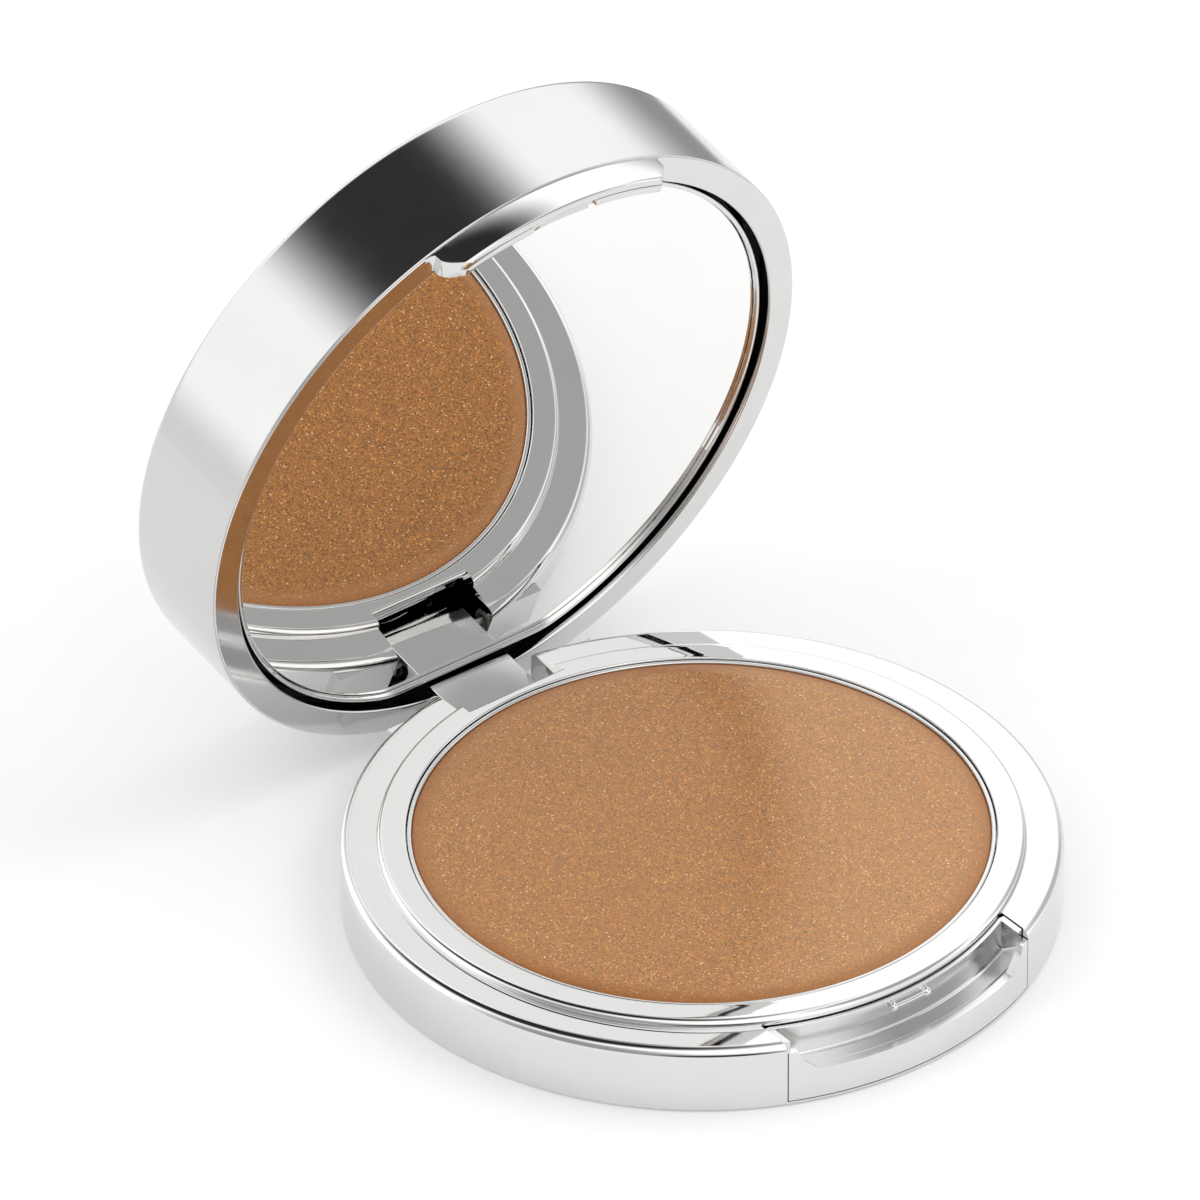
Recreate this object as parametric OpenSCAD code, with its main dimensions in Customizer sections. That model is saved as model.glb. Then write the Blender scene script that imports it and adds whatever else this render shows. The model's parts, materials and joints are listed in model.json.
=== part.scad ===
// Round powder compact: a base with a pressed-powder pan and a push-button latch,
// and a deep mirrored lid on a rear hinge.
// Millimetres. Origin at the centre of the base's underside, +Z up, -Y is the front.
// The lid is described closed, then swung open about the hinge pin.

/* [Compact] */
// Outer radius of the base and the lid
body_r = 36.5; // [36.5:0.1:38]
// Height of the flat outer ring of the base
ring_z = 7.4; // [7.2:0.1:7.6]
// Height that the raised ring round the pan stands above the outer ring
raised_h = 0.8; // [0.6:0.1:0.8]
// Angle that the lid stands open
lid_open = 78.4; // [0:0.1:78.4]
// Height of the lid above its rim
lid_h = 13.4; // [12.6:0.1:16]

/* [Pan] */
// Outer radius of the metal pan
pan_r = 29.65; // [29:0.05:29.65]
// Wall thickness of the pan
pan_wall = 0.5; // [0.3:0.1:0.6]
// How far the powder's edge drops below its crown
powder_drop = 0.4; // [0.2:0.1:0.6]

/* [Latch] */
// Half the width of the push button
button_half = 15.2; // [14.8:0.1:15.4]
// Height of the button's lip in the middle of the notch
lip_z = 3.95; // [3.8:0.05:4]
// Travel of the button
button_travel = 0.8; // [0.6:0.1:0.8]

/* [Hinge] */
// Distance of the hinge axis behind the centre
hinge_y = 34.1; // [34:0.1:34.2]
// Height of the hinge axis
hinge_z = 3; // [2.95:0.05:3.05]
// Radius of the hinge pin
pin_r = 0.8; // [0.6:0.1:0.8]
// Half the width of the lid's knuckle
knuckle_half = 5; // [4.6:0.1:5.2]

/* [Mirror] */
// Radius of the round part of the mirror
mirror_r = 32.3; // [32:0.1:32.4]
// Distance of the mirror's flat edge behind the centre
mirror_flat_y = 30.75; // [30.5:0.05:30.8]

/* [Hidden] */
$fn = 144;
eps = 0.01;
big = 200;

// Base
base_floor = 1;
base_wall = 1.5;
edge_round = 1;
foot_round = 0.4;
deck_edge_r = body_r - edge_round;
deck_t = 1;
deck_step_r = body_r - 3.8;
deck_z = ring_z + raised_h;
lip_round = 0.15;
well_gap = 0.05;
well_r = pan_r + well_gap;
well_wall = 0.9;
well_floor_z = 2.2;
well_floor_t = 0.8;
film_t = 0.15;
pan_z = well_floor_z + well_floor_t + film_t;
pan_top = ring_z + 0.65;
pan_floor = 0.4;
powder_top = deck_z - 0.05;
crown_r = pan_r - 2.6;
powder_gap = 0.02;
weight_r = 26;
weight_hole_r = 5;
film_hole_r = 6;
film_r = 22;
label_r = 24;
label_gap = 0.2;
label_t = 0.15;

// Hinge
knuckle_r = 2.4;
knuckle_round = 0.8;
slot_half = knuckle_half + 1.1;
slot_y = 30.8;
sill_z = 0.5;
stop_z = 0.8;
stop_y = 35.5;
relief_r = ring_z - hinge_z;
pin_half = 12;
fit_gap = 0.01;
run_gap = 0.03;
sleeve_r = pin_r + 0.5;
boss_out = 13;
boss_y = 31.2;

// Latch button
seam = 0.1;
button_z = 0.55;
skin_t = 0.9;
tray_z = 3.7;
tray_t = 0.7;
back_r = 33.2;
back_t = 0.9;
back_top = ring_z - 0.15;
side_t = 0.7;
side_top = ring_z - 0.5;
side_y = 29.4;
lug_out = 1.1;
lug_y = 31;
lug_d = 1.2;
catch_z = 6.25;
catch_r = 0.3;
catch_ball_r = 0.45;
catch_ring_r = back_r + 0.1;
catch_half_deg = 3.6;
spring_t = 0.15;
spring_half = 9;
spring_z0 = 2;
spring_z1 = 5.5;
spring_tip = 32.2;
spring_end = 29.5;
spring_sag = spring_tip - spring_end;
spring_r = (spring_half * spring_half + spring_sag * spring_sag) / (2 * spring_sag);

// Lid, closed
rim_gap = 0.1;
rim_z = ring_z + rim_gap;
lid_top = rim_z + lid_h;
rim_in_r = body_r - 3.1;
rim_out_r = body_r - 0.15;
rim_step = 0.15;
shell_t = 0.9;
roof_t = 1;
lid_round = 0.9;
frame_out_r = body_r - shell_t - 0.05;
frame_web = 1.2;
frame_wall = 0.8;
frame_top = 12;
core_gap = 0.2;
core_r = rim_in_r - core_gap;
core_z = rim_z + 3.1;
core_plate = 1.2;
core_wall = 1.2;
core_rib_count = 6;
hub_r = 5;
glue_t = 0.1;
core_top = lid_top - roof_t - glue_t;
glue_edge = 0.1;
glue_in_r = core_r - core_wall - glue_edge;
glue_out_r = core_r - glue_edge;
tray_lip = 0.5;
tray_lip_z = deck_z + 0.1;
mirror_z = tray_lip_z + 0.55;
mirror_t = 1;
mirror_gap = 0.03;
mirror_film_r = 27;

// Tab that hangs from the lid's rim into the notch
tab_z = lip_z + 0.2;
tab_in_z = tab_z + 0.15;
tab_in_r = 34.5;
tab_groove_r = 35.35;
tab_groove_w = 0.25;
tab_groove_h = 0.5;
tab_foot_round = 0.35;
tab_foot = 12;
tab_body = 13.9;
tab_curve_top = 6.6;
flare_h = 0.45;
flare_w = 0.9;
tab_gap = 0.25;
relief_half = 3.9;
relief_up = 0.5;
hook_half = 3.4;
hook_in_r = 33.95;
hook_z0 = tab_z + 0.75;
hook_h = 0.6;
curve_steps = 10;

// A ring of rectangular section
module ring(r0, r1, z0, z1) {
    rotate_extrude() translate([r0, z0]) square([r1 - r0, z1 - z0]);
}

// A flat disc
module disc(r, z0, z1) {
    translate([0, 0, z0]) cylinder(r = r, h = z1 - z0);
}

// The waste outside a rounded convex corner, in the quadrant given by sx and sz
module corner_waste(x, z, r, sx, sz) {
    translate([x - sx * r, z - sz * r]) difference() {
        translate([sx > 0 ? 0 : -r - eps, sz > 0 ? 0 : -r - eps]) square(r + eps);
        circle(r);
    }
}

// A block centred on x = 0
module span(half, y0, y1, z0, z1) {
    translate([-half, y0, z0]) cube([2 * half, y1 - y0, z1 - z0]);
}

// A round bar along the hinge axis
module hinge_bar(r, half) {
    translate([-half, hinge_y, hinge_z]) rotate([0, 90, 0]) cylinder(r = r, h = 2 * half);
}

// Swings what is drawn closed up to the open angle
module opened() {
    translate([0, hinge_y, hinge_z]) rotate([-lid_open, 0, 0])
        translate([0, -hinge_y, -hinge_z]) children();
}

// Room for the lid's rear rim, which rolls over the back edge of the base
module rear_relief() {
    difference() {
        span(body_r, hinge_y, body_r + 1, hinge_z, deck_z + 1);
        hinge_bar(relief_r, body_r + 1);
    }
}

// ---- Base ----

module base_profile() {
    difference() {
        union() {
            square([body_r, base_floor]);
            translate([body_r - base_wall, 0]) square([base_wall, ring_z - deck_t]);
            translate([deck_edge_r, 0]) square([body_r - deck_edge_r, ring_z]);
        }
        corner_waste(body_r, ring_z, edge_round - eps, 1, 1);
        corner_waste(body_r, 0, foot_round, 1, -1);
    }
}

module hinge_bosses() {
    for (side = [-1, 1])
        translate([side > 0 ? slot_half : -boss_out, boss_y, base_floor - eps])
            cube([boss_out - slot_half, body_r - boss_y, ring_z - deck_t - base_floor + eps]);
}

module base_shell() {
    color("silver") difference() {
        union() {
            rotate_extrude() base_profile();
            intersection() {
                hinge_bosses();
                disc(body_r - edge_round, 0, ring_z);
            }
        }
        rear_relief();
        span(slot_half, slot_y, stop_y, sill_z, big);
        span(slot_half, stop_y - eps, body_r + 1, stop_z, big);
        span(button_half + seam, -body_r - 1, -lug_y, sill_z, big);
        hinge_bar(pin_r + fit_gap, body_r);
        disc(label_r, -eps, label_t);
    }
}

module deck_profile() {
    difference() {
        union() {
            polygon([
                [well_r, well_floor_z], [well_r + well_wall, well_floor_z],
                [well_r + well_wall, ring_z - deck_t], [deck_edge_r, ring_z - deck_t],
                [deck_edge_r, ring_z], [deck_step_r, ring_z], [deck_step_r, deck_z],
                [well_r, deck_z]
            ]);
            translate([0, well_floor_z]) square([well_r + eps, well_floor_t]);
        }
        corner_waste(well_r, deck_z, lip_round, -1, 1);
        corner_waste(deck_step_r, deck_z, raised_h - eps, 1, 1);
    }
}

module pan_deck() {
    color("gainsboro") difference() {
        rotate_extrude() deck_profile();
        rear_relief();
        span(slot_half, slot_y, body_r, well_floor_z - 1, big);
        difference() {
            span(button_half + seam, -body_r - 1, -side_y + button_travel + seam, well_floor_z, big);
            disc(deck_step_r, ring_z, big);
            disc(well_r + well_wall, 0, big);
        }
    }
}

module pan() {
    color("lightgray") difference() {
        disc(pan_r, pan_z, pan_top);
        disc(pan_r - pan_wall, pan_z + pan_floor, big);
    }
}

module powder() {
    fill_r = pan_r - pan_wall - powder_gap;
    crown_w = fill_r - crown_r;
    color("peru") rotate_extrude() polygon(concat(
        [[0, pan_z + pan_floor], [fill_r, pan_z + pan_floor]],
        [for (i = [0 : curve_steps])
            let (a = 90 * i / curve_steps)
            [crown_r + crown_w * cos(a), powder_top - powder_drop * (1 - sin(a))]],
        [[0, powder_top]]
    ));
}

module pan_film() {
    color("white") disc(film_r, pan_z - film_t, pan_z);
}

module weight_plate() {
    color("dimgray") ring(weight_hole_r, weight_r, base_floor + film_t, well_floor_z);
}

module weight_film() {
    color("white") ring(film_hole_r, film_r, base_floor, base_floor + film_t);
}

module bottom_label() {
    color("white") disc(label_r - label_gap, 0, label_t);
}

module hinge_pin() {
    color("gray") hinge_bar(pin_r, pin_half);
}

// ---- Latch button ----

// Half-width of the lid's tab at height z, narrowing to its foot in a quarter wave
function tab_half(z) = z >= tab_curve_top ? tab_body
    : tab_foot + (tab_body - tab_foot) * sin(90 * (z - tab_z) / (tab_curve_top - tab_z));

// Right-hand edge of the tab, from its foot up
tab_edge = [for (i = [0 : curve_steps])
    let (z = tab_z + (tab_curve_top - tab_z) * i / curve_steps) [tab_half(z), z]];

function mirrored(points) = [for (i = [len(points) - 1 : -1 : 0]) [-points[i][0], points[i][1]]];

// Front outline of the opening in the button, drawn in x and z
module opening_outline() {
    edge = [for (p = tab_edge) [p[0] + tab_gap, p[1] - tab_z + lip_z]];
    right = concat(edge, [[tab_body + tab_gap, big]]);
    polygon(concat(right, mirrored(right)));
}

// Extrudes an x-z outline through the front of the compact
module through_front() {
    translate([0, -tab_in_r / 2, 0]) rotate([90, 0, 0]) linear_extrude(height = body_r) children();
}

module button_skin() {
    difference() {
        ring(body_r - skin_t, body_r, button_z, ring_z - edge_round);
        through_front() opening_outline();
    }
}

module button_catch() {
    rotate([0, 0, -90 - catch_half_deg]) rotate_extrude(angle = 2 * catch_half_deg)
        translate([catch_ring_r, catch_z]) circle(catch_r, $fn = 32);
    for (side = [-1, 1])
        rotate([0, 0, -90 + side * catch_half_deg])
            translate([catch_ring_r, 0, catch_z]) sphere(catch_ball_r, $fn = 32);
}

module push_button() {
    color("whitesmoke") {
        intersection() {
            union() {
                button_skin();
                ring(back_r - back_t, body_r - skin_t + eps, tray_z - tray_t, tray_z);
                ring(back_r - back_t, back_r, base_floor + seam, back_top);
                intersection() {
                    for (side = [-1, 1])
                        translate([side > 0 ? button_half - side_t : -button_half,
                                   -body_r, base_floor + seam])
                            cube([side_t, body_r - side_y, side_top - base_floor - seam]);
                    disc(body_r - skin_t + eps, 0, big);
                }
            }
            span(button_half, -body_r - 1, -side_y, 0, back_top);
        }
        for (side = [-1, 1])
            translate([side > 0 ? button_half - side_t : -button_half - lug_out,
                       -lug_y + seam, base_floor + seam])
                cube([side_t + lug_out, lug_d, ring_z - deck_t - base_floor - 2 * seam]);
        button_catch();
    }
}

module button_spring() {
    color("darkgray") intersection() {
        translate([0, spring_r - spring_tip, 0])
            ring(spring_r - spring_t, spring_r, spring_z0, spring_z1);
        span(spring_half, -body_r, -spring_end, 0, big);
    }
}

// ---- Lid ----

module lid_shell() {
    color("lightgray") opened() rotate_extrude() difference() {
        translate([0, rim_z + rim_step]) square([body_r, lid_h - rim_step]);
        translate([-eps, rim_z]) square([body_r - shell_t + eps, lid_h - roof_t]);
        corner_waste(body_r, lid_top, lid_round, 1, 1);
    }
}

module tab_profile() {
    difference() {
        union() {
            translate([tab_in_r, tab_in_z]) square([rim_out_r - tab_in_r, rim_z - tab_in_z + eps]);
            translate([tab_groove_r, tab_z]) square([rim_out_r - tab_groove_r, rim_z - tab_z]);
        }
        translate([tab_groove_r, tab_z - eps]) square([tab_groove_w, tab_groove_h]);
        corner_waste(rim_out_r, tab_z, tab_foot_round, 1, -1);
    }
}

// Front outline of the tab, flaring where it meets the rim
module tab_outline() {
    flare = [[tab_body, rim_z - flare_h], [tab_body + flare_w / 3, rim_z - flare_h / 3],
             [tab_body + flare_w, rim_z + eps]];
    right = concat(tab_edge, flare);
    polygon(concat(right, mirrored(right)));
}

module tab() {
    difference() {
        intersection() {
            rotate_extrude() tab_profile();
            through_front() tab_outline();
        }
        span(relief_half, -tab_groove_r, -tab_in_r + 1, 0, tab_in_z + relief_up);
    }
    intersection() {
        ring(hook_in_r, tab_in_r + eps, hook_z0, hook_z0 + hook_h);
        span(hook_half, -body_r, 0, 0, big);
    }
}

module frame_profile() {
    difference() {
        union() {
            translate([rim_in_r, rim_z]) square([frame_out_r - rim_in_r, frame_web]);
            translate([frame_out_r - eps, rim_z]) square([rim_out_r - frame_out_r + eps, rim_step]);
            translate([frame_out_r - frame_wall, rim_z]) square([frame_wall, frame_top - rim_z]);
            translate([rim_in_r, rim_z]) square([frame_wall, core_z - rim_z]);
        }
        corner_waste(rim_in_r, rim_z, lip_round, -1, -1);
    }
}

// The knuckle's front corner, as square as the slot it swings in allows
module knuckle_corner() {
    inset = knuckle_r - knuckle_round;
    span(knuckle_half, hinge_y - knuckle_r, hinge_y, hinge_z - inset, hinge_z + eps);
    span(knuckle_half, hinge_y - inset, hinge_y, hinge_z - knuckle_r, hinge_z + eps);
    translate([0, -inset, -inset]) hinge_bar(knuckle_round, knuckle_half);
}

module knuckle() {
    difference() {
        union() {
            hinge_bar(knuckle_r, knuckle_half);
            knuckle_corner();
            intersection() {
                span(knuckle_half, hinge_y - knuckle_r, body_r, hinge_z, core_z - seam);
                union() {
                    disc(rim_out_r, 0, rim_z + rim_step);
                    disc(frame_out_r, 0, big);
                }
            }
        }
        hinge_bar(sleeve_r + fit_gap, knuckle_half + 1);
    }
}

module lid_frame() {
    color("gainsboro") opened() {
        rotate_extrude() frame_profile();
        tab();
        knuckle();
    }
}

module core_ribs() {
    for (i = [0 : core_rib_count - 1])
        rotate([0, 0, (i + 0.5) * 360 / core_rib_count])
            translate([0, -core_wall / 2, 0]) cube([body_r, core_wall, big + 1]);
}

module lid_core() {
    color("black") opened() difference() {
        disc(core_r, core_z, core_top);
        disc(hub_r - core_wall, core_z + core_plate, big);
        difference() {
            ring(hub_r, core_r - core_wall, core_z + core_plate, big);
            core_ribs();
        }
    }
}

module core_glue() {
    color("white") opened() ring(glue_in_r, glue_out_r, core_top, core_top + glue_t);
}

// A disc with one flat edge towards the hinge
module flat_disc(r, flat_y, z0, z1) {
    intersection() {
        disc(r, z0, z1);
        span(r, -r, flat_y, z0, z1);
    }
}

module mirror_tray() {
    color("gainsboro") opened() difference() {
        flat_disc(mirror_r + mirror_gap + tray_lip, mirror_flat_y + mirror_gap + tray_lip,
                  tray_lip_z, core_z);
        flat_disc(mirror_r + mirror_gap, mirror_flat_y + mirror_gap,
                  tray_lip_z - eps, mirror_z + mirror_t + film_t);
    }
}

module mirror_glass() {
    color("aliceblue") opened() flat_disc(mirror_r, mirror_flat_y, mirror_z, mirror_z + mirror_t);
}

module mirror_film() {
    color("white") opened() disc(mirror_film_r, mirror_z + mirror_t, mirror_z + mirror_t + film_t);
}

module friction_sleeve() {
    color("ivory") opened() difference() {
        hinge_bar(sleeve_r, knuckle_half);
        hinge_bar(pin_r + run_gap, knuckle_half + 1);
    }
}

base_shell();
pan_deck();
pan();
powder();
pan_film();
weight_plate();
weight_film();
bottom_label();
hinge_pin();
push_button();
button_spring();
lid_shell();
lid_frame();
lid_core();
core_glue();
mirror_tray();
mirror_glass();  // mirror
mirror_film();
friction_sleeve();
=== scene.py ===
import json
import math

import bmesh
import bpy
from mathutils import Matrix, Vector


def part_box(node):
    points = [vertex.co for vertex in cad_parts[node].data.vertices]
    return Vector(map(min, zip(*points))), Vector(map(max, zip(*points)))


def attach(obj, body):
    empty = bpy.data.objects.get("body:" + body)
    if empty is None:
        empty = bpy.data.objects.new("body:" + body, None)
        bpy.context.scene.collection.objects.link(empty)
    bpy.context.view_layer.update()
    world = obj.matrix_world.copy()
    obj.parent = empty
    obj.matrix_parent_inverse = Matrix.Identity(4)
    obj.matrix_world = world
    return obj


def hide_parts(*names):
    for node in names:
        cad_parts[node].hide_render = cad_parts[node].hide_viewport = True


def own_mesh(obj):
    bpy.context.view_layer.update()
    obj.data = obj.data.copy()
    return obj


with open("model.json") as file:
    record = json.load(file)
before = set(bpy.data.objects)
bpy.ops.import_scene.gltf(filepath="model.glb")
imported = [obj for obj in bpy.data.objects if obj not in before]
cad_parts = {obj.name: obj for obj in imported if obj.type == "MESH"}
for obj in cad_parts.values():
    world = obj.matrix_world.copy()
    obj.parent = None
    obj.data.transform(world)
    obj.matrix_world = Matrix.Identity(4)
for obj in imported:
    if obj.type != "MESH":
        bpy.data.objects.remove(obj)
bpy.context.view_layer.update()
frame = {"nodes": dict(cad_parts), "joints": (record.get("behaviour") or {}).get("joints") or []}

# ---------------------------------------------------------------- sizes, millimetres
MM = 0.001


def cad_top(node):
    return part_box(node)[1] / MM


def joint(name):
    return next(j for j in frame["joints"] if j["name"] == name)


HINGE = joint("lid_hinge")
HINGE_Y, HINGE_Z = HINGE["pos_m"][1] / MM, HINGE["pos_m"][2] / MM
OPEN = math.radians(-HINGE["range_deg"][0])
BODY_R = cad_top("base_shell").x
RING_Z = cad_top("base_shell").z
DECK_Z = cad_top("pan_deck").z
PAN_R = cad_top("pan").x
PAN_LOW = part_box("pan")[0].z / MM
PAN_TOP = cad_top("pan").z
POWDER_TOP = cad_top("powder").z
POWDER_R = cad_top("powder").x
LABEL_R = cad_top("bottom_label").x

# base casing and deck
EDGE = 1.0                  # round of the top edge
FOOT_ROUND = 0.4
WALL = 1.5                  # side wall of the casing
FLOOR_Z = 1                 # top of its floor
LEDGE_Z = RING_Z - 1        # where the deck rests
LABEL_DEEP, LABEL_GAP = 0.15, 0.2
DECK_LOW, WELL_Z = 2.2, 3   # under the deck, and the floor of its well
STEP_R = BODY_R - 3.8       # foot of the raised ring
RAISED = DECK_Z - RING_Z
WELL_R = PAN_R + 0.09
PAN_T = 0.4                 # sheet the pan is pressed from, at its floor
PAN_WALL = 0.5
SLOT_HALF, SLOT_Y = 6.1, 30.8   # the slot the hinge knuckle turns in
SLOT_LIP = 0.5
BOSS_X, BOSS_Y0, BOSS_Y1 = 13, 31.2, 35.2   # the bosses that hold the pin
NOTCH, SEAM = 15.2, 0.1     # half the width of the button's notch, and the seam beside it
FAR, HIGH = 40, 20          # cutters reach this far out and this far up

# button
SKIN_R = BODY_R - 0.9       # inside of its front skin
BACK_R, BACK_IN = 33.2, 32.3    # its back wall
BUTTON_LOW, TRAY_LOW, TRAY_Z = 1.1, 3.0, 3.7
BUTTON_TOP = RING_Z - 0.15
CHEEK_X, LUG_X = 14.5, 16.3
SPRING_TIP, SPRING_END, SPRING_HALF = 32.2, 29.5, 9
SPRING_T, SPRING_Z0, SPRING_Z1 = 0.15, 2, 5.5

# lid, as if shut
RIM_Z = RING_Z + 0.1
LID_TOP = RIM_Z + 13.4
RIM_IN, RIM_OUT = BODY_R - 3.1, BODY_R - 0.15
SHELL_T = 0.9
SHELL_Z = RIM_Z + 0.15      # the shell's lower edge stands on the rim here
FRAME_OUT = BODY_R - SHELL_T - 0.05
FRAME_T, FRAME_TOP = 0.8, 12
CORE_Z = RIM_Z + 3.1
MIRROR_R, MIRROR_Y = 32.3, 30.75    # its circle, and its flat side at the hinge
BEZEL_Z, BEZEL_T = 8.3, 0.6
GLASS_Z0, GLASS_Z1 = 8.85, 9.85
LIP_Z = 3.95                # lower end of the opening in the button's lip
TAB_Z, TAB_TOP = LIP_Z + 0.2, 6.6
TAB_FOOT, TAB_BODY = 12.0, 13.9     # half the tab's width, low and high
TAB_FLARE = 0.9
TAB_IN, TAB_BACK, TAB_LAND = 34.5, 35.35, 35.6
KNUCKLE_R, KNUCKLE_ROUND, KNUCKLE_HALF = 2.4, 0.8, 5
BORE_R = 1.31

# closed position of the lid -> the open one it is drawn in
TO_OPEN = (Matrix.Translation((0, HINGE_Y, HINGE_Z)) @ Matrix.Rotation(-OPEN, 4, "X")
           @ Matrix.Translation((0, -HINGE_Y, -HINGE_Z)))


# ---------------------------------------------------------------- mesh tools
def rounded(points, steps=8, skirt=0.04):
    """Points are (r, z, round). Each corner with a round becomes an arc, with a short
    straight run kept beside it so that shading stays flat on the flats."""
    out = []
    n = len(points)
    for i, (x, z, rad) in enumerate(points):
        if not rad:
            out.append((x, z))
            continue
        p, a, b = Vector((x, z)), Vector(points[i - 1][:2]), Vector(points[(i + 1) % n][:2])
        u, v = (a - p), (b - p)
        lu, lv = u.length, v.length
        u.normalize()
        v.normalize()
        half = u.angle(v) / 2
        t = rad / math.tan(half)
        centre = p + (u + v).normalized() * (rad / math.sin(half))
        start, end = p + u * t, p + v * t
        if t + skirt < lu * 0.5:
            out.append(tuple(p + u * (t + skirt)))
        a0 = math.atan2(start.y - centre.y, start.x - centre.x)
        a1 = math.atan2(end.y - centre.y, end.x - centre.x)
        turn = (a1 - a0 + math.pi) % (2 * math.pi) - math.pi
        for k in range(steps + 1):
            a = a0 + turn * k / steps
            out.append((centre.x + rad * math.cos(a), centre.y + rad * math.sin(a)))
        if t + skirt < lv * 0.5:
            out.append(tuple(p + v * (t + skirt)))
    return out


def new_object(name, bm):
    mesh = bpy.data.meshes.new(name)
    bmesh.ops.recalc_face_normals(bm, faces=bm.faces)
    bm.to_mesh(mesh)
    bm.free()
    obj = bpy.data.objects.new(name, mesh)
    bpy.context.scene.collection.objects.link(obj)
    return obj


def lathe(name, profile, segments=240, radius_of=None):
    """Turns a closed profile about Z. radius_of(angle, r) bends the turning circle."""
    bm = bmesh.new()
    rings = []
    for r, z in profile:
        if r < 1e-6:
            rings.append([bm.verts.new((0, 0, z))])
            continue
        ring = []
        for k in range(segments):
            a = 2 * math.pi * k / segments
            rr = radius_of(a, r) if radius_of else r
            ring.append(bm.verts.new((rr * math.cos(a), rr * math.sin(a), z)))
        rings.append(ring)
    for i, ring in enumerate(rings):
        nxt = rings[(i + 1) % len(rings)]
        if len(ring) == 1 and len(nxt) == 1:
            continue
        for k in range(segments):
            k2 = (k + 1) % segments
            if len(ring) == 1:
                bm.faces.new((ring[0], nxt[k2], nxt[k]))
            elif len(nxt) == 1:
                bm.faces.new((ring[k], ring[k2], nxt[0]))
            else:
                bm.faces.new((ring[k], ring[k2], nxt[k2], nxt[k]))
    return new_object(name, bm)


def prism(name, outline, lo, hi, axis):
    """A closed outline drawn in the plane across the axis, pushed along it from lo to hi."""
    def place(p, d):
        return {"x": (d, p[0], p[1]), "y": (p[0], d, p[1]), "z": (p[0], p[1], d)}[axis]
    bm = bmesh.new()
    low = [bm.verts.new(place(p, lo)) for p in outline]
    high = [bm.verts.new(place(p, hi)) for p in outline]
    n = len(outline)
    bm.faces.new(low)
    bm.faces.new(high)
    for i in range(n):
        bm.faces.new((low[i], low[(i + 1) % n], high[(i + 1) % n], high[i]))
    return new_object(name, bm)


def block(name, x0, x1, y0, y1, z0, z1):
    return prism(name, [(x0, y0), (x1, y0), (x1, y1), (x0, y1)], z0, z1, "z")


def side_block(name, side, x0, x1, *rest):
    """A block from x0 to x1 on one side of the middle: side is -1 or 1."""
    return block(name, min(side * x0, side * x1), max(side * x0, side * x1), *rest)


def plug(name, radius, low):
    """A solid round bar, for keeping or cutting what is inside it."""
    return lathe(name, [(0, low), (radius, low), (radius, 30), (0, 30)])


def arc(cx, cy, r, a0, a1, steps=10):
    turns = [math.radians(a0 + (a1 - a0) * k / steps) for k in range(steps + 1)]
    return [(cx + r * math.cos(a), cy + r * math.sin(a)) for a in turns]


def apply_all(obj):
    graph = bpy.context.evaluated_depsgraph_get()
    mesh = bpy.data.meshes.new_from_object(obj.evaluated_get(graph))
    obj.modifiers.clear()
    old = obj.data
    obj.data = mesh
    mesh.name = obj.name
    bpy.data.meshes.remove(old)


def combine(obj, others, how):
    for other in others:
        mod = obj.modifiers.new("cut", "BOOLEAN")
        mod.operation = how
        mod.solver = "EXACT"
        mod.object = other
        apply_all(obj)
        bpy.data.objects.remove(other)
    return obj


def cut(obj, *others):
    return combine(obj, others, "DIFFERENCE")


def join(obj, *others):
    return combine(obj, others, "UNION")


def keep(obj, *others):
    return combine(obj, others, "INTERSECT")


def soften(obj, width, angle=28, steps=2):
    mod = obj.modifiers.new("edges", "BEVEL")
    mod.width = width
    mod.segments = steps
    mod.limit_method = "ANGLE"
    mod.angle_limit = math.radians(angle)
    mod.miter_outer = "MITER_ARC"
    mod.use_clamp_overlap = True
    apply_all(obj)
    return obj


def settle(obj, material, body, nodes=(), opened=False, sharp=30):
    """Metres, smooth shading with true edges kept, and the piece's place in the frame."""
    obj.data.transform(Matrix.Scale(MM, 4))
    if opened:
        scale = Matrix.Scale(MM, 4)
        obj.data.transform(scale @ TO_OPEN @ scale.inverted())
    bm = bmesh.new()
    bm.from_mesh(obj.data)
    bmesh.ops.remove_doubles(bm, verts=bm.verts, dist=2e-8)
    bmesh.ops.recalc_face_normals(bm, faces=bm.faces)
    bm.to_mesh(obj.data)
    bm.free()
    for poly in obj.data.polygons:
        poly.use_smooth = True
    obj.data.set_sharp_from_angle(angle=math.radians(sharp))
    obj.data.materials.clear()
    obj.data.materials.append(material)
    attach(obj, body)
    if nodes:
        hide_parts(*nodes)
    return obj


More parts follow.
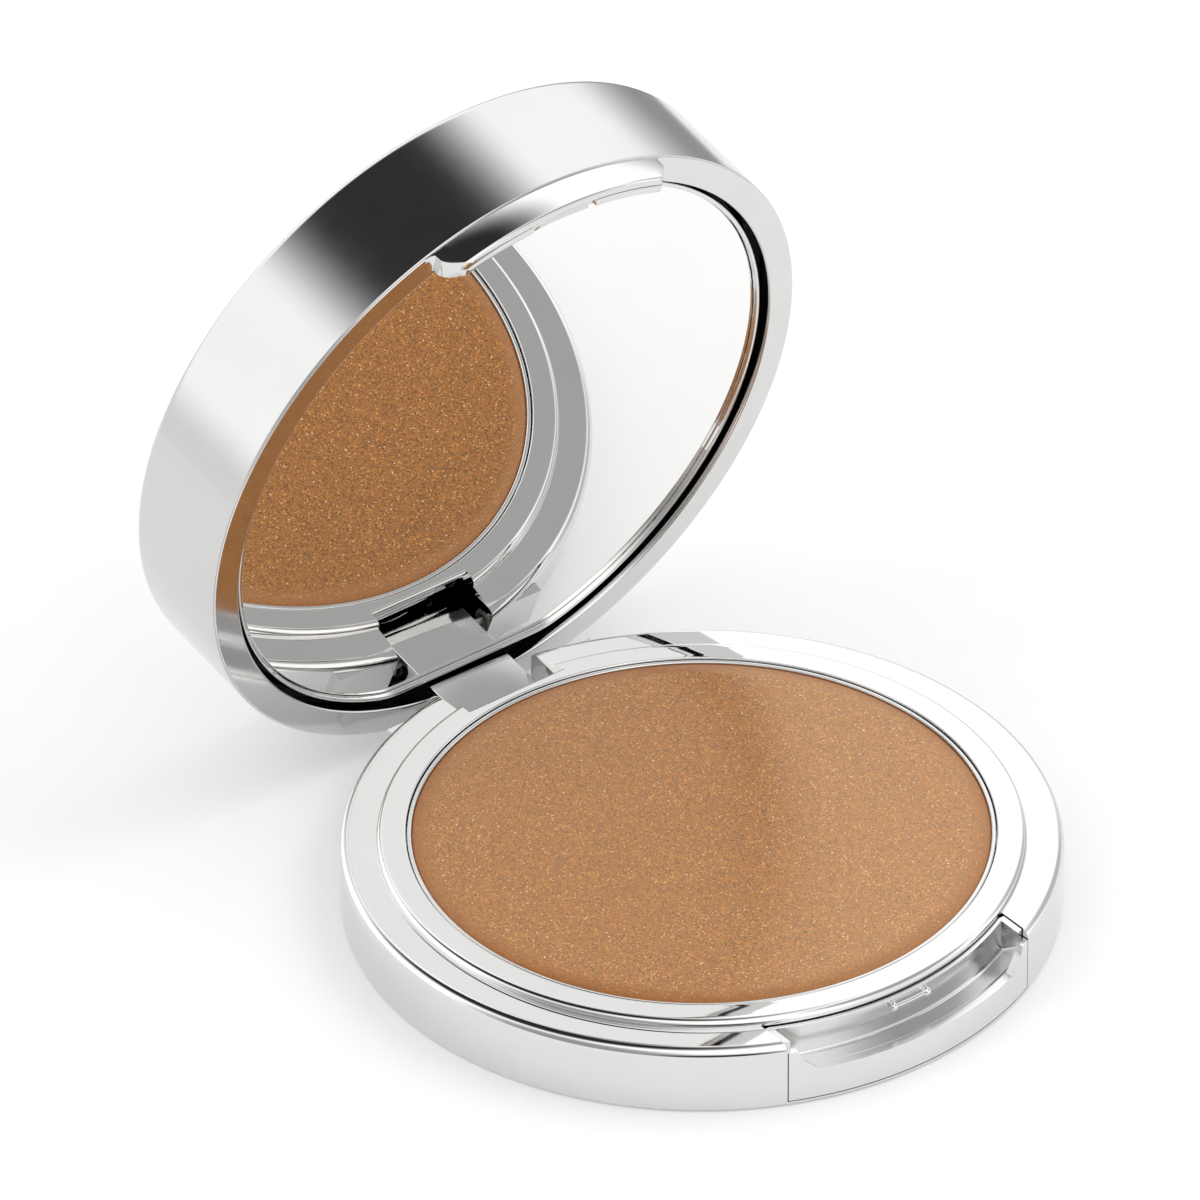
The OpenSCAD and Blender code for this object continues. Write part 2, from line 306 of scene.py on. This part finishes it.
# ---------------------------------------------------------------- materials
class Nodes:
    def __init__(self, name):
        self.mat = bpy.data.materials.new(name)
        self.mat.use_nodes = True
        self.tree = self.mat.node_tree
        self.shader = self.tree.nodes["Principled BSDF"]
        self.coord = self.tree.nodes.new("ShaderNodeTexCoord").outputs["Object"]

    def add(self, kind, **values):
        node = self.tree.nodes.new(kind)
        for key, value in values.items():
            setattr(node, key, value)
        return node

    def link(self, a, b):
        self.tree.links.new(a, b)

    def noise(self, scale, detail=3.0, rough=0.5):
        node = self.add("ShaderNodeTexNoise")
        node.inputs["Scale"].default_value = scale
        node.inputs["Detail"].default_value = detail
        node.inputs["Roughness"].default_value = rough
        self.link(self.coord, node.inputs["Vector"])
        return node.outputs["Fac"]

    def ramp(self, fac, dark, light):
        node = self.add("ShaderNodeValToRGB")
        for element, at, colour in zip(node.color_ramp.elements, (0.3, 0.7), (dark, light)):
            element.position = at
            element.color = (*colour, 1)
        self.link(fac, node.inputs["Fac"])
        return node.outputs["Color"]

    def spread(self, fac, lo, hi, a=0.3, b=0.7):
        node = self.add("ShaderNodeMapRange")
        node.inputs["From Min"].default_value = a
        node.inputs["From Max"].default_value = b
        node.inputs["To Min"].default_value = lo
        node.inputs["To Max"].default_value = hi
        self.link(fac, node.inputs["Value"])
        return node.outputs["Result"]

    def mix(self, fac, a, b):
        node = self.add("ShaderNodeMix", data_type="RGBA")
        for socket, value in ((node.inputs[0], fac), (node.inputs[6], a), (node.inputs[7], b)):
            if isinstance(value, (tuple, float)):
                socket.default_value = (*value, 1) if isinstance(value, tuple) else value
            else:
                self.link(value, socket)
        return node.outputs[2]

    def math(self, operation, a, b):
        node = self.add("ShaderNodeMath", operation=operation)
        self.link(a, node.inputs[0])
        self.link(b, node.inputs[1])
        return node.outputs[0]

    def cells(self, scale):
        """Voronoi cells: distance from each cell's centre, and its random values."""
        node = self.add("ShaderNodeTexVoronoi")
        node.inputs["Scale"].default_value = scale
        self.link(self.coord, node.inputs["Vector"])
        parts = self.add("ShaderNodeSeparateColor")
        self.link(node.outputs["Color"], parts.inputs["Color"])
        return node.outputs["Distance"], parts.outputs

    def grains(self, scale, share, size):
        """Sparse spots: a share of the cells, kept near each cell's centre."""
        distance, values = self.cells(scale)
        chosen = self.spread(values[0], 0.0, 1.0, 1 - share, 1 - share + 0.004)
        near = self.spread(distance, 1.0, 0.0, size * 0.7, size)
        return self.math("MULTIPLY", chosen, near)

    def from_axis(self):
        """Distance from the compact's upright axis, in metres."""
        flat = self.add("ShaderNodeVectorMath", operation="MULTIPLY")
        flat.inputs[1].default_value = (1, 1, 0)
        self.link(self.coord, flat.inputs[0])
        length = self.add("ShaderNodeVectorMath", operation="LENGTH")
        self.link(flat.outputs[0], length.inputs[0])
        return length.outputs["Value"]

    def bump(self, height, strength, distance):
        node = self.add("ShaderNodeBump")
        node.inputs["Strength"].default_value = strength
        node.inputs["Distance"].default_value = distance
        self.link(height, node.inputs["Height"])
        self.link(node.outputs["Normal"], self.shader.inputs["Normal"])


def grey(v):
    return (v, v * 0.998, v * 0.99)


def metal(name, tone, spread, rough_lo, rough_hi, grain=0.0, grain_scale=9000.0):
    """Plated or spun metal: faint clouding in tone and roughness, and a fine grain."""
    m = Nodes(name)
    m.shader.inputs["Metallic"].default_value = 1.0
    cloud = m.noise(180.0, 4.0)
    m.link(m.ramp(cloud, grey(tone - spread), grey(tone + spread)), m.shader.inputs["Base Color"])
    m.link(m.spread(m.noise(420.0, 5.0), rough_lo, rough_hi), m.shader.inputs["Roughness"])
    if grain:
        m.bump(m.noise(grain_scale, 2.0), grain, 0.00002)
    return m.mat


def powder_material():
    """Pressed powder: a fine-grained tone, sparse dark and gold grains, near-white specks painted in as
    glints, and painted shade on the shoulder.
    """
    m = Nodes("pressed_powder")
    fine = m.noise(6400.0, 2.0, 0.7)
    soft = m.noise(160.0, 3.0)
    base = m.mix(soft, (0.300, 0.086, 0.003), (0.325, 0.096, 0.005))
    values = m.cells(7600.0)[1]
    pressed = m.mix(values[1], (0.030, 0.004, 0.001), (0.600, 0.190, 0.012))
    base = m.mix(0.75, base, pressed)
    # the near-white specks, the last row below, are painted glints
    for scale, share, size, colour in (
            (4800.0, 0.150, 0.42, (0.012, 0.004, 0.001)),
            (4500.0, 0.110, 0.40, (0.98, 0.56, 0.18)),
            (3500.0, 0.026, 0.30, (1.0, 0.95, 0.80))):
        base = m.mix(m.grains(scale, share, size), base, colour)
    # painted shade: the cake's shoulder is made deeper in colour, and it is also less glossy
    shaded_shoulder = m.spread(m.from_axis(), 0.0, 0.8, 0.0268, 0.0290)
    base = m.mix(shaded_shoulder, base, (0.270, 0.066, 0.002))
    m.link(base, m.shader.inputs["Base Color"])
    rough = m.math("MAXIMUM", m.spread(fine, 0.22, 0.30), m.spread(shaded_shoulder, 0.22, 0.50, 0.0, 0.8))
    m.link(rough, m.shader.inputs["Roughness"])
    m.shader.inputs["IOR"].default_value = 1.90
    m.shader.inputs["Specular IOR Level"].default_value = 1.0
    m.shader.inputs["Specular Tint"].default_value = (1.0, 0.75, 0.47, 1.0)
    m.shader.inputs["Sheen Weight"].default_value = 0.12
    m.shader.inputs["Sheen Roughness"].default_value = 0.40
    m.shader.inputs["Sheen Tint"].default_value = (1.0, 0.85, 0.65, 1.0)
    m.bump(fine, 0.08, 0.00003)
    return m.mat


def plain_material(name, lo, hi, rough_lo, rough_hi, scale=700.0, bump=0.2):
    """Moulded plastic, paper or adhesive: two close tones and an uneven surface."""
    m = Nodes(name)
    n = m.noise(scale, 4.0)
    m.link(m.ramp(n, lo, hi), m.shader.inputs["Base Color"])
    m.link(m.spread(n, rough_lo, rough_hi), m.shader.inputs["Roughness"])
    m.bump(m.noise(scale * 6, 2.0), bump, 0.00003)
    return m.mat


CHROME = metal("bright_chrome", 0.74, 0.010, 0.030, 0.050)
CHROME_DECK = metal("deck_chrome", 0.75, 0.010, 0.030, 0.050)
BUTTON = metal("button_chrome", 0.74, 0.010, 0.170, 0.210)
FRAME = metal("frame_chrome", 0.72, 0.012, 0.070, 0.110)
SATIN = metal("satin_lid", 0.64, 0.008, 0.140, 0.160, 0.05, 14000.0)
PAN = metal("pan_tin", 0.70, 0.03, 0.160, 0.260, 0.15, 9000.0)
MIRROR = metal("mirror_silver", 0.965, 0.004, 0.004, 0.010)
STEEL = metal("steel", 0.45, 0.04, 0.250, 0.400, 0.2)
SPRING = metal("spring_steel", 0.55, 0.03, 0.200, 0.300, 0.1)
POWDER = powder_material()
BLACK = plain_material("core_black", (0.006, 0.006, 0.006), (0.014, 0.014, 0.014), 0.55, 0.75)
NYLON = plain_material("sleeve_nylon", (0.60, 0.58, 0.52), (0.68, 0.66, 0.60), 0.40, 0.55)
GLUE = plain_material("adhesive", (0.62, 0.60, 0.54), (0.74, 0.72, 0.66), 0.35, 0.60)
PAPER = plain_material("label_paper", (0.70, 0.70, 0.69), (0.78, 0.78, 0.77), 0.55, 0.75, 1500.0)


# ---------------------------------------------------------------- base
def relief_cutter():
    """What is cut off the base's back edge so that the lid's rim can roll over it."""
    top, out = DECK_Z + 2, BODY_R + 5
    edge = arc(HINGE_Y, HINGE_Z, RING_Z - HINGE_Z, 90, 0, 16)
    outline = [(HINGE_Y, top)] + edge + [(out, HINGE_Z), (out, top)]
    return prism("relief", outline, -BODY_R - 2, BODY_R + 2, "x")


def casing():
    """The outer shell: label recess, bosses, hinge slot and the button's notch."""
    recess_r = LABEL_R + LABEL_GAP
    mouth_r = BODY_R - EDGE - 0.02
    inner_r = BODY_R - WALL
    obj = lathe("base_casing", rounded([
        (0, LABEL_DEEP, 0), (recess_r, LABEL_DEEP, 0.05), (recess_r, 0, 0.05), (BODY_R, 0, FOOT_ROUND),
        (BODY_R, RING_Z, EDGE), (mouth_r, RING_Z, 0), (mouth_r, LEDGE_Z, 0),
        (inner_r, LEDGE_Z, 0), (inner_r, FLOOR_Z, 0), (0, FLOOR_Z, 0)]))
    for side in (-1, 1):
        join(obj, side_block("boss", side, SLOT_HALF, BOSS_X, BOSS_Y0, BOSS_Y1, FLOOR_Z - 0.1, LEDGE_Z))
    inside = block("slot", -SLOT_HALF, SLOT_HALF, SLOT_Y, 35.5, 0.5, HIGH)
    outside = block("slot_out", -SLOT_HALF, SLOT_HALF, 35.4, FAR, 0.8, HIGH)
    notch = block("notch", -NOTCH - SEAM, NOTCH + SEAM, -FAR, -31, 0.5, HIGH)
    return cut(obj, relief_cutter(), inside, outside, notch)


def crowned(r0, r1, z, level, drop, steps=8):
    """A ring's upper face from r0 in to r1: level for a share of its width, then easing down."""
    points = []
    for k in range(1 if level else 0, steps + 1):
        ease = max(0, (k / steps - level) / (1 - level)) ** 2
        points.append((r0 + (r1 - r0) * k / steps, z - drop * ease, 0))
    return points


def notch_cutter():
    """The room that the button takes out of the deck."""
    inner, step, ledge = WELL_R + 0.93, STEP_R + 0.09, RING_Z - 0.012
    ring = [(inner, 2), (FAR, 2), (FAR, HIGH), (step, HIGH), (step, ledge), (inner, ledge)]
    return keep(lathe("notch", ring, 480), block("span", -NOTCH - SEAM, NOTCH + SEAM, -42, -20, 1, 22))


def deck_ring():
    """The plate with the raised ring round the well, cut for the button and the knuckle."""
    skirt_r = WELL_R + 0.9
    obj = lathe("pan_deck_ring", rounded([
        (0, DECK_LOW, 0), (skirt_r, DECK_LOW, 0), (skirt_r, LEDGE_Z, 0), (BODY_R - EDGE, LEDGE_Z, 0),
        *crowned(BODY_R - EDGE, STEP_R + 0.15, RING_Z, 0, 0.035), (STEP_R, RING_Z - 0.04, 0.06),
        (STEP_R, DECK_Z, RAISED - 0.10), *crowned(STEP_R - RAISED, WELL_R + 0.25, DECK_Z, 0.3, 0.02),
        (WELL_R, DECK_Z - 0.02, 0.15), (WELL_R, WELL_Z, 0), (0, WELL_Z, 0)], steps=10))
    corner = SLOT_Y - SLOT_LIP
    lip = arc(corner, DECK_Z - SLOT_LIP, SLOT_LIP, 90, 0)
    outline = lip + [(SLOT_Y, 1), (FAR, 1), (FAR, HIGH), (corner, HIGH)]
    return cut(obj, notch_cutter(), relief_cutter(), prism("slot", outline, -SLOT_HALF, SLOT_HALF, "x"))


def pan_piece():
    """The pressed metal pan."""
    inner_r, floor = PAN_R - PAN_WALL, PAN_LOW + PAN_T
    return lathe("powder_pan", rounded([
        (0, PAN_LOW, 0), (PAN_R, PAN_LOW, 0.3), (PAN_R, PAN_TOP, 0.2), (inner_r, PAN_TOP, 0.2),
        (inner_r, floor, 0.1), (0, floor, 0)]))


def powder_piece():
    """The pressed cake: flat crown, worn-in shoulder, and the faint unevenness of pressing."""
    floor = PAN_LOW + PAN_T
    wide, deep = 2.6, 0.4
    crown = POWDER_R - wide
    rings = 24
    shaded_shoulder = [math.radians(90 * k / 14) for k in range(15)]
    profile = [(0, floor), (POWDER_R, floor)]
    profile += [(crown + (POWDER_R - crown) * math.cos(a), POWDER_TOP - deep * (1 - math.sin(a)))
                for a in shaded_shoulder]
    profile += [(crown * (1 - k / rings), POWDER_TOP) for k in range(1, rings)] + [(0, POWDER_TOP)]
    obj = lathe("powder_cake", profile, 300)
    for v in obj.data.vertices:
        if v.co.z < POWDER_TOP - 0.6:
            continue
        x, y = v.co.x, v.co.y
        wave = math.sin(x * 0.21 + 1.3) * math.cos(y * 0.17 - 0.4) + 0.5 * math.sin(x * 0.55 - y * 0.43)
        v.co.z -= 0.006 * (1.5 + wave)
    return obj


settle(casing(), CHROME, "base", ["base_shell"])
settle(deck_ring(), CHROME_DECK, "base", ["pan_deck"])
settle(pan_piece(), PAN, "base", ["pan"])
settle(powder_piece(), POWDER, "base", ["powder"], sharp=60)


# ---------------------------------------------------------------- push button
def tab_half(z):
    """Half the width of the lid's tab at a height: narrow at its foot, full at TAB_TOP."""
    if z >= TAB_TOP:
        return TAB_BODY
    return TAB_FOOT + (TAB_BODY - TAB_FOOT) * math.sin(math.pi / 2 * (z - TAB_Z) / (TAB_TOP - TAB_Z))


def tab_side(z0, gap=0.0, steps=16):
    """The tab's right-hand side from its foot up, drawn from z0, with a gap kept round it."""
    tall = TAB_TOP - TAB_Z
    return [(tab_half(TAB_Z + tall * k / steps) + gap, z0 + tall * k / steps) for k in range(steps + 1)]


def both_sides(right):
    return right + [(-x, z) for x, z in reversed(right)]


def tab_opening():
    """The gap in the button's front skin that the lid's tab drops into."""
    gap = 0.25
    outline = both_sides(tab_side(LIP_Z, gap) + [(TAB_BODY + gap, HIGH)])
    return cut(prism("opening", outline, -FAR, -20, "y"), plug("inside", SKIN_R - 0.02, -1))


def button_skin():
    """Front skin, tray and back wall in one turned piece, with a cheek and a lug at each end."""
    opening = tab_opening()
    lip = RING_Z - EDGE
    obj = lathe("push_button_skin", rounded([
        (SKIN_R, 0.55, 0), (BODY_R, 0.55, 0.08), (BODY_R, lip, 0.08), (SKIN_R, lip, 0.08),
        (SKIN_R, TRAY_Z, 0.45), (BACK_R, TRAY_Z, 0.30), (BACK_R, BUTTON_TOP, 0.12),
        (BACK_IN, BUTTON_TOP, 0), (BACK_IN, BUTTON_LOW, 0), (BACK_R, BUTTON_LOW, 0),
        (BACK_R, TRAY_LOW, 0), (SKIN_R, TRAY_LOW, 0)],
        steps=5), 480)
    cut(obj, opening)
    keep(obj, block("span", -NOTCH, NOTCH, -FAR, -29.4, 0, HIGH))
    for side in (-1, 1):
        cheek = side_block("cheek", side, CHEEK_X, NOTCH, -38, -29.4, BUTTON_LOW, BUTTON_TOP)
        join(obj, keep(cheek, plug("round", BODY_R - 0.88, 0)))
        join(obj, side_block("lug", side, CHEEK_X, LUG_X, -30.9, -29.7, BUTTON_LOW, RING_Z - 1.2))
    return soften(obj, 0.07, 40, 2)


def catch():
    """The small bar with a bead at each end on the button's back wall."""
    bm = bmesh.new()
    ring_r, bar, bead, tip = 33.42, 0.27, 0.5, 0.02
    z, rows, sides = 6.25, 48, 20
    run = ring_r * math.radians(3.6)
    for k in range(rows + 1):
        s = (2 * k / rows - 1) * (run + bead)
        ball = math.sqrt(max(bead ** 2 - (abs(s) - run) ** 2, 0))
        r = max(bar if abs(s) < run else tip, ball)
        a = s / ring_r - math.pi / 2
        out = Vector((math.cos(a), math.sin(a), 0))
        for j in range(sides):
            b = 2 * math.pi * j / sides
            bm.verts.new(out * (ring_r + r * math.cos(b)) + Vector((0, 0, z + r * math.sin(b))))
    bm.verts.ensure_lookup_table()
    for k in range(rows):
        here, there = k * sides, (k + 1) * sides
        for j in range(sides):
            j2 = (j + 1) % sides
            bm.faces.new([bm.verts[i] for i in (here + j, here + j2, there + j2, there + j)])
    bm.faces.new(bm.verts[:sides])
    bm.faces.new(bm.verts[-sides:])
    return new_object("button_catch", bm)


def leaf_spring():
    """The bowed leaf behind the button, drawn at rest."""
    reach = SPRING_TIP - SPRING_END
    r = (SPRING_HALF ** 2 + reach ** 2) / (2 * reach)
    side = math.degrees(math.asin(SPRING_HALF / r))
    middle = r - SPRING_TIP
    outline = arc(0, middle, r, -90 - side, -90 + side, 32)
    outline += arc(0, middle, r - SPRING_T, -90 + side, -90 - side, 32)
    return soften(prism("leaf_spring", outline, SPRING_Z0, SPRING_Z1, "z"), 0.03, 60, 1)


settle(button_skin(), BUTTON, "button", ["push_button"])
settle(catch(), BUTTON, "button")
spring = settle(leaf_spring(), SPRING, "base", ["button_spring"])
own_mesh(spring)


# ---------------------------------------------------------------- lid
def outer_shell():
    """The satin cup that covers the lid."""
    inner_r, under = BODY_R - SHELL_T, LID_TOP - 1
    return lathe("lid_outer_shell", rounded([
        (0, LID_TOP, 0), (0, under, 0), (inner_r, under, 0.4), (inner_r, SHELL_Z, 0.1),
        (BODY_R, SHELL_Z, 0.12), (BODY_R, LID_TOP, 0.9)]), 288)


def rim_frame():
    """The bright rim and the wall that it stands on inside the shell."""
    wall_in, groove_r, groove_z = FRAME_OUT - FRAME_T, RIM_IN + FRAME_T, RIM_Z + 1.2
    return lathe("lid_rim_frame", rounded([
        (RIM_IN, RIM_Z, 0.18), (RIM_OUT, RIM_Z, 0.1), (RIM_OUT, SHELL_Z, 0), (FRAME_OUT, SHELL_Z, 0),
        (FRAME_OUT, FRAME_TOP, 0), (wall_in, FRAME_TOP, 0), (wall_in, groove_z, 0), (groove_r, groove_z, 0),
        (groove_r, CORE_Z, 0), (RIM_IN, CORE_Z, 0)], steps=6), 288)


def tab_outline():
    """The tab seen from the front: its side curves out again where it joins the rim."""
    blend = 0.45
    side = tab_side(TAB_Z)
    side[0] = (side[0][0] - 0.6, TAB_Z - 0.01)
    for k in range(1, 7):
        a = math.radians(15 * k)
        side.append((TAB_BODY + TAB_FLARE * (1 - math.cos(a)), RIM_Z - blend + blend * math.sin(a)))
    side.append((TAB_BODY + TAB_FLARE, RIM_Z + 0.2))
    return both_sides(side)


def tab_piece():
    """The front tab with its groove, a relief in the middle and the hook in that."""
    root, land = RIM_Z + 0.1, TAB_Z + 0.5
    obj = lathe("lid_tab", rounded([
        (TAB_IN, TAB_Z + 0.15, 0.08), (TAB_BACK, TAB_Z + 0.15, 0), (TAB_BACK, land, 0), (TAB_LAND, land, 0),
        (TAB_LAND, TAB_Z, 0.06), (RIM_OUT, TAB_Z, 0.35), (RIM_OUT, root, 0), (TAB_IN, root, 0)],
        steps=8), 480)
    keep(obj, prism("outline", tab_outline(), -FAR, -20, "y"))
    cut(obj, block("relief", -3.9, 3.9, -35.42, -33, 0, TAB_Z + 0.65))
    low, high, inner, outer = TAB_Z + 0.75, TAB_Z + 1.35, 33.95, 34.55
    hook = lathe("hook", [(inner, low), (outer, low), (outer, high), (inner, high)])
    keep(hook, block("span", -3.4, 3.4, -FAR, -20, 0, HIGH))
    return soften(join(obj, hook), 0.06, 40, 2)


def knuckle_piece():
    """The arm from the rim to the pin, with a rounded inner corner."""
    inset = KNUCKLE_R - KNUCKLE_ROUND
    root = CORE_Z - 0.1
    outline = arc(HINGE_Y - inset, HINGE_Z - inset, KNUCKLE_ROUND, 180, 270, 8)
    outline += arc(HINGE_Y, HINGE_Z, KNUCKLE_R, 270, 360, 12)
    outline += [(HINGE_Y + 2.25, 6.5), (RIM_OUT, RIM_Z), (RIM_OUT, SHELL_Z), (FRAME_OUT, RIM_Z + 0.2)]
    outline += [(FRAME_OUT, root), (HINGE_Y - KNUCKLE_R, root)]
    obj = prism("hinge_knuckle", outline, -KNUCKLE_HALF, KNUCKLE_HALF, "x")
    bore = arc(HINGE_Y, HINGE_Z, BORE_R, 0, 345, 23)
    cut(obj, prism("bore", bore, -KNUCKLE_HALF - 1, KNUCKLE_HALF + 1, "x"))
    return soften(obj, 0.12, 40, 3)


def flatten(limit, blend=0.35):
    """The mirror's outline: a circle that runs smoothly into its flat side at the hinge."""
    def radius(a, r):
        s = math.sin(a)
        if s <= 0.2:
            return r
        flat = (limit + (r - MIRROR_R)) / s
        gap = flat - r
        if gap > 4:
            return r
        return 0.5 * (flat + r - math.sqrt(gap * gap + blend * blend))
    return radius


def bezel():
    """The bright tray that holds the mirror."""
    inner_r, outer_r, floor = MIRROR_R + 0.03, MIRROR_R + 0.53, CORE_Z - BEZEL_T
    return lathe("mirror_bezel", rounded([
        (inner_r, BEZEL_Z, 0.12), (outer_r, BEZEL_Z, 0.2), (outer_r, CORE_Z, 0), (0, CORE_Z, 0),
        (0, floor, 0), (inner_r, floor, 0)], steps=6), 288, flatten(MIRROR_Y))


def mirror():
    """The glass, with a small polished edge."""
    glass_r = MIRROR_R - 0.02
    return lathe("mirror_glass", rounded([
        (0, GLASS_Z0, 0), (glass_r, GLASS_Z0, 0.12), (glass_r, GLASS_Z1, 0.1), (0, GLASS_Z1, 0)], steps=3),
        288, flatten(MIRROR_Y))


settle(outer_shell(), SATIN, "lid", ["lid_shell"], opened=True)
settle(rim_frame(), FRAME, "lid", ["lid_frame"], opened=True)
settle(tab_piece(), FRAME, "lid", opened=True)
settle(knuckle_piece(), FRAME, "lid", opened=True)
settle(bezel(), CHROME, "lid", ["mirror_tray"], opened=True)
settle(mirror(), MIRROR, "lid", ["mirror"], opened=True)

# ---------------------------------------------------------------- CAD pieces shown as they are
for node, material in {
        "pan_film": GLUE, "weight_plate": STEEL, "weight_film": GLUE, "bottom_label": PAPER,
        "hinge_pin": STEEL, "lid_core": BLACK, "core_glue": GLUE, "mirror_film": GLUE,
        "friction_sleeve": NYLON}.items():
    obj = frame["nodes"][node]
    obj.data.materials.clear()
    obj.data.materials.append(material)
    for poly in obj.data.polygons:
        poly.use_smooth = False


# ---------------------------------------------------------------- floor
def floor_paper():
    """Pale paper that gives off a little light, so that it fades into the white room."""
    m = Nodes("floor_paper")
    pale = m.ramp(m.noise(40.0, 3.0), (0.75, 0.75, 0.75), (0.77, 0.77, 0.77))
    m.link(pale, m.shader.inputs["Base Color"])
    m.shader.inputs["Roughness"].default_value = 0.9
    m.shader.inputs["Specular IOR Level"].default_value = 0.0
    m.shader.inputs["Emission Color"].default_value = (1.0, 1.0, 1.0, 1.0)
    m.shader.inputs["Emission Strength"].default_value = 0.19
    return m.mat


def floor_disc():
    """A flat disc just under the compact, in metres."""
    sides, under = 72, 0.00005
    turns = [k * math.pi / (sides / 2) for k in range(sides)]
    bm = bmesh.new()
    rows = [[bm.verts.new((r * math.cos(a), r * math.sin(a), -under)) for a in turns]
            for r in (0.02, 0.05, 0.09, 0.13, 0.18, 0.24)]
    bm.faces.new(rows[0])
    for low, high in zip(rows, rows[1:]):
        for k in range(sides):
            k2 = (k + 1) % sides
            bm.faces.new((low[k], high[k], high[k2], low[k2]))
    return new_object("studio_floor", bm)


floor = floor_disc()
floor.data.materials.append(floor_paper())


# ---------------------------------------------------------------- light
def direction(azimuth, elevation):
    """0 is the front of the compact and 90 its right-hand side."""
    a, e = math.radians(azimuth), math.radians(elevation)
    return math.sin(a) * math.cos(e), -math.cos(a) * math.cos(e), math.sin(e)


def studio():
    """An even white room. What shines sees it brighter, with soft dark patches in it, placed by
    trial so that the dark bands on the lid and the rim fall where the photograph has them."""
    world = bpy.data.worlds.new("studio")
    bpy.context.scene.world = world
    world.use_nodes = True
    tree = world.node_tree
    tree.nodes.clear()

    def add(kind, **values):
        node = tree.nodes.new(kind)
        for key, value in values.items():
            setattr(node, key, value)
        return node

    def math_node(op, a, b):
        node = add("ShaderNodeMath", operation=op)
        for socket, value in ((node.inputs[0], a), (node.inputs[1], b)):
            if isinstance(value, (int, float)):
                socket.default_value = value
            else:
                tree.links.new(value, socket)
        return node.outputs[0]

    way = add("ShaderNodeTexCoord").outputs["Generated"]

    def patch(azimuth, elevation, full, none):
        """1 within `full` degrees of a direction, falling to 0 at `none` degrees."""
        dot = add("ShaderNodeVectorMath", operation="DOT_PRODUCT")
        tree.links.new(way, dot.inputs[0])
        dot.inputs[1].default_value = direction(azimuth, elevation)
        ease = add("ShaderNodeMapRange", interpolation_type="SMOOTHSTEP")
        tree.links.new(dot.outputs["Value"], ease.inputs["Value"])
        ease.inputs["From Min"].default_value = math.cos(math.radians(none))
        ease.inputs["From Max"].default_value = math.cos(math.radians(full))
        return ease.outputs["Result"]

    level = 1.42     # what shines sees this
    matt, backdrop = 0.95, 0.15     # what doesn't sees `matt`, and the camera a little more
    for azimuth, elevation, full, none, depth in (
            (-165, 66, 15, 38, 0.98),     # overhead, behind
            (-32, 6, 6, 26, 0.96),        # low, front left
            (-75, 16, 12, 45, 0.72),      # side, left
            (44, 46, 13, 30, 0.66),       # overhead, front right
            (95, 19, 8, 25, 0.55),        # side, right
            (31, 8, 6, 26, 0.25),         # low, front right
            (128, -16, 12, 36, 0.62),     # below the horizon, back right
            (0, -90, 82, 94, 0.32)):      # everything below the horizon
        dark = patch(azimuth, elevation, full, none)
        lit = math_node("SUBTRACT", 1.0, math_node("MULTIPLY", dark, depth))
        level = math_node("MULTIPLY", level, lit)
    path = add("ShaderNodeLightPath")
    is_glossy = path.outputs["Is Glossy Ray"]
    shine = math_node("MULTIPLY", is_glossy, level)
    plain = math_node("ADD", matt, math_node("MULTIPLY", path.outputs["Is Camera Ray"], backdrop))
    even = math_node("MULTIPLY", math_node("SUBTRACT", 1.0, is_glossy), plain)
    back = add("ShaderNodeBackground")
    back.inputs["Color"].default_value = (1.0, 1.0, 1.0, 1.0)
    tree.links.new(math_node("ADD", shine, even), back.inputs["Strength"])
    out = add("ShaderNodeOutputWorld")
    tree.links.new(back.outputs[0], out.inputs["Surface"])


def softbox(name, azimuth, elevation, distance, size, power):
    data = bpy.data.lights.new(name, "AREA")
    data.shape = "DISK"
    data.size = size
    data.energy = power
    obj = bpy.data.objects.new(name, data)
    bpy.context.scene.collection.objects.link(obj)
    away = Vector(direction(azimuth, elevation))
    obj.location = away * distance + Vector((0, 0, 0.03))
    obj.rotation_mode = "QUATERNION"
    obj.rotation_quaternion = (-away).to_track_quat("-Z", "Y")
    obj.visible_glossy = False
    obj.visible_camera = False


studio()
softbox("key", 60, 55, 0.9, 0.6, 1.6)
softbox("fill", -110, 45, 0.9, 0.7, 0.9)


# ---------------------------------------------------------------- camera
CAM_AZ, CAM_EL, CAM_ROLL = math.radians(-37.679), math.radians(34.963), math.radians(-0.377)
CAM_FAR, CAM_ACROSS, CAM_UP = 1401.4, -10.244, 29.640   # millimetres
IMAGE, FOCAL = 1200, 13898      # pixels
SENSOR = 36


def photo_camera():
    """The camera at the photograph's viewing angle, found from the photograph's ellipses."""
    away = Vector((math.sin(CAM_AZ) * math.cos(CAM_EL), -math.cos(CAM_AZ) * math.cos(CAM_EL),
                   math.sin(CAM_EL)))
    level_x = Vector((math.cos(CAM_AZ), math.sin(CAM_AZ), 0))
    level_y = away.cross(level_x)
    across = level_x * math.cos(CAM_ROLL) + level_y * math.sin(CAM_ROLL)
    upward = level_y * math.cos(CAM_ROLL) - level_x * math.sin(CAM_ROLL)
    lens = bpy.data.cameras.new("camera")
    lens.sensor_width = SENSOR
    lens.lens = FOCAL / IMAGE * SENSOR
    lens.clip_start, lens.clip_end = 0.05, 20
    camera = bpy.data.objects.new("camera", lens)
    bpy.context.scene.collection.objects.link(camera)
    turn = Matrix((across, upward, away)).transposed().to_4x4()
    place = across * CAM_ACROSS + upward * CAM_UP + away * CAM_FAR
    camera.matrix_world = Matrix.Translation(place * MM) @ turn
    return camera


bpy.context.scene.camera = photo_camera()
bpy.context.scene.view_settings.view_transform = "Standard"
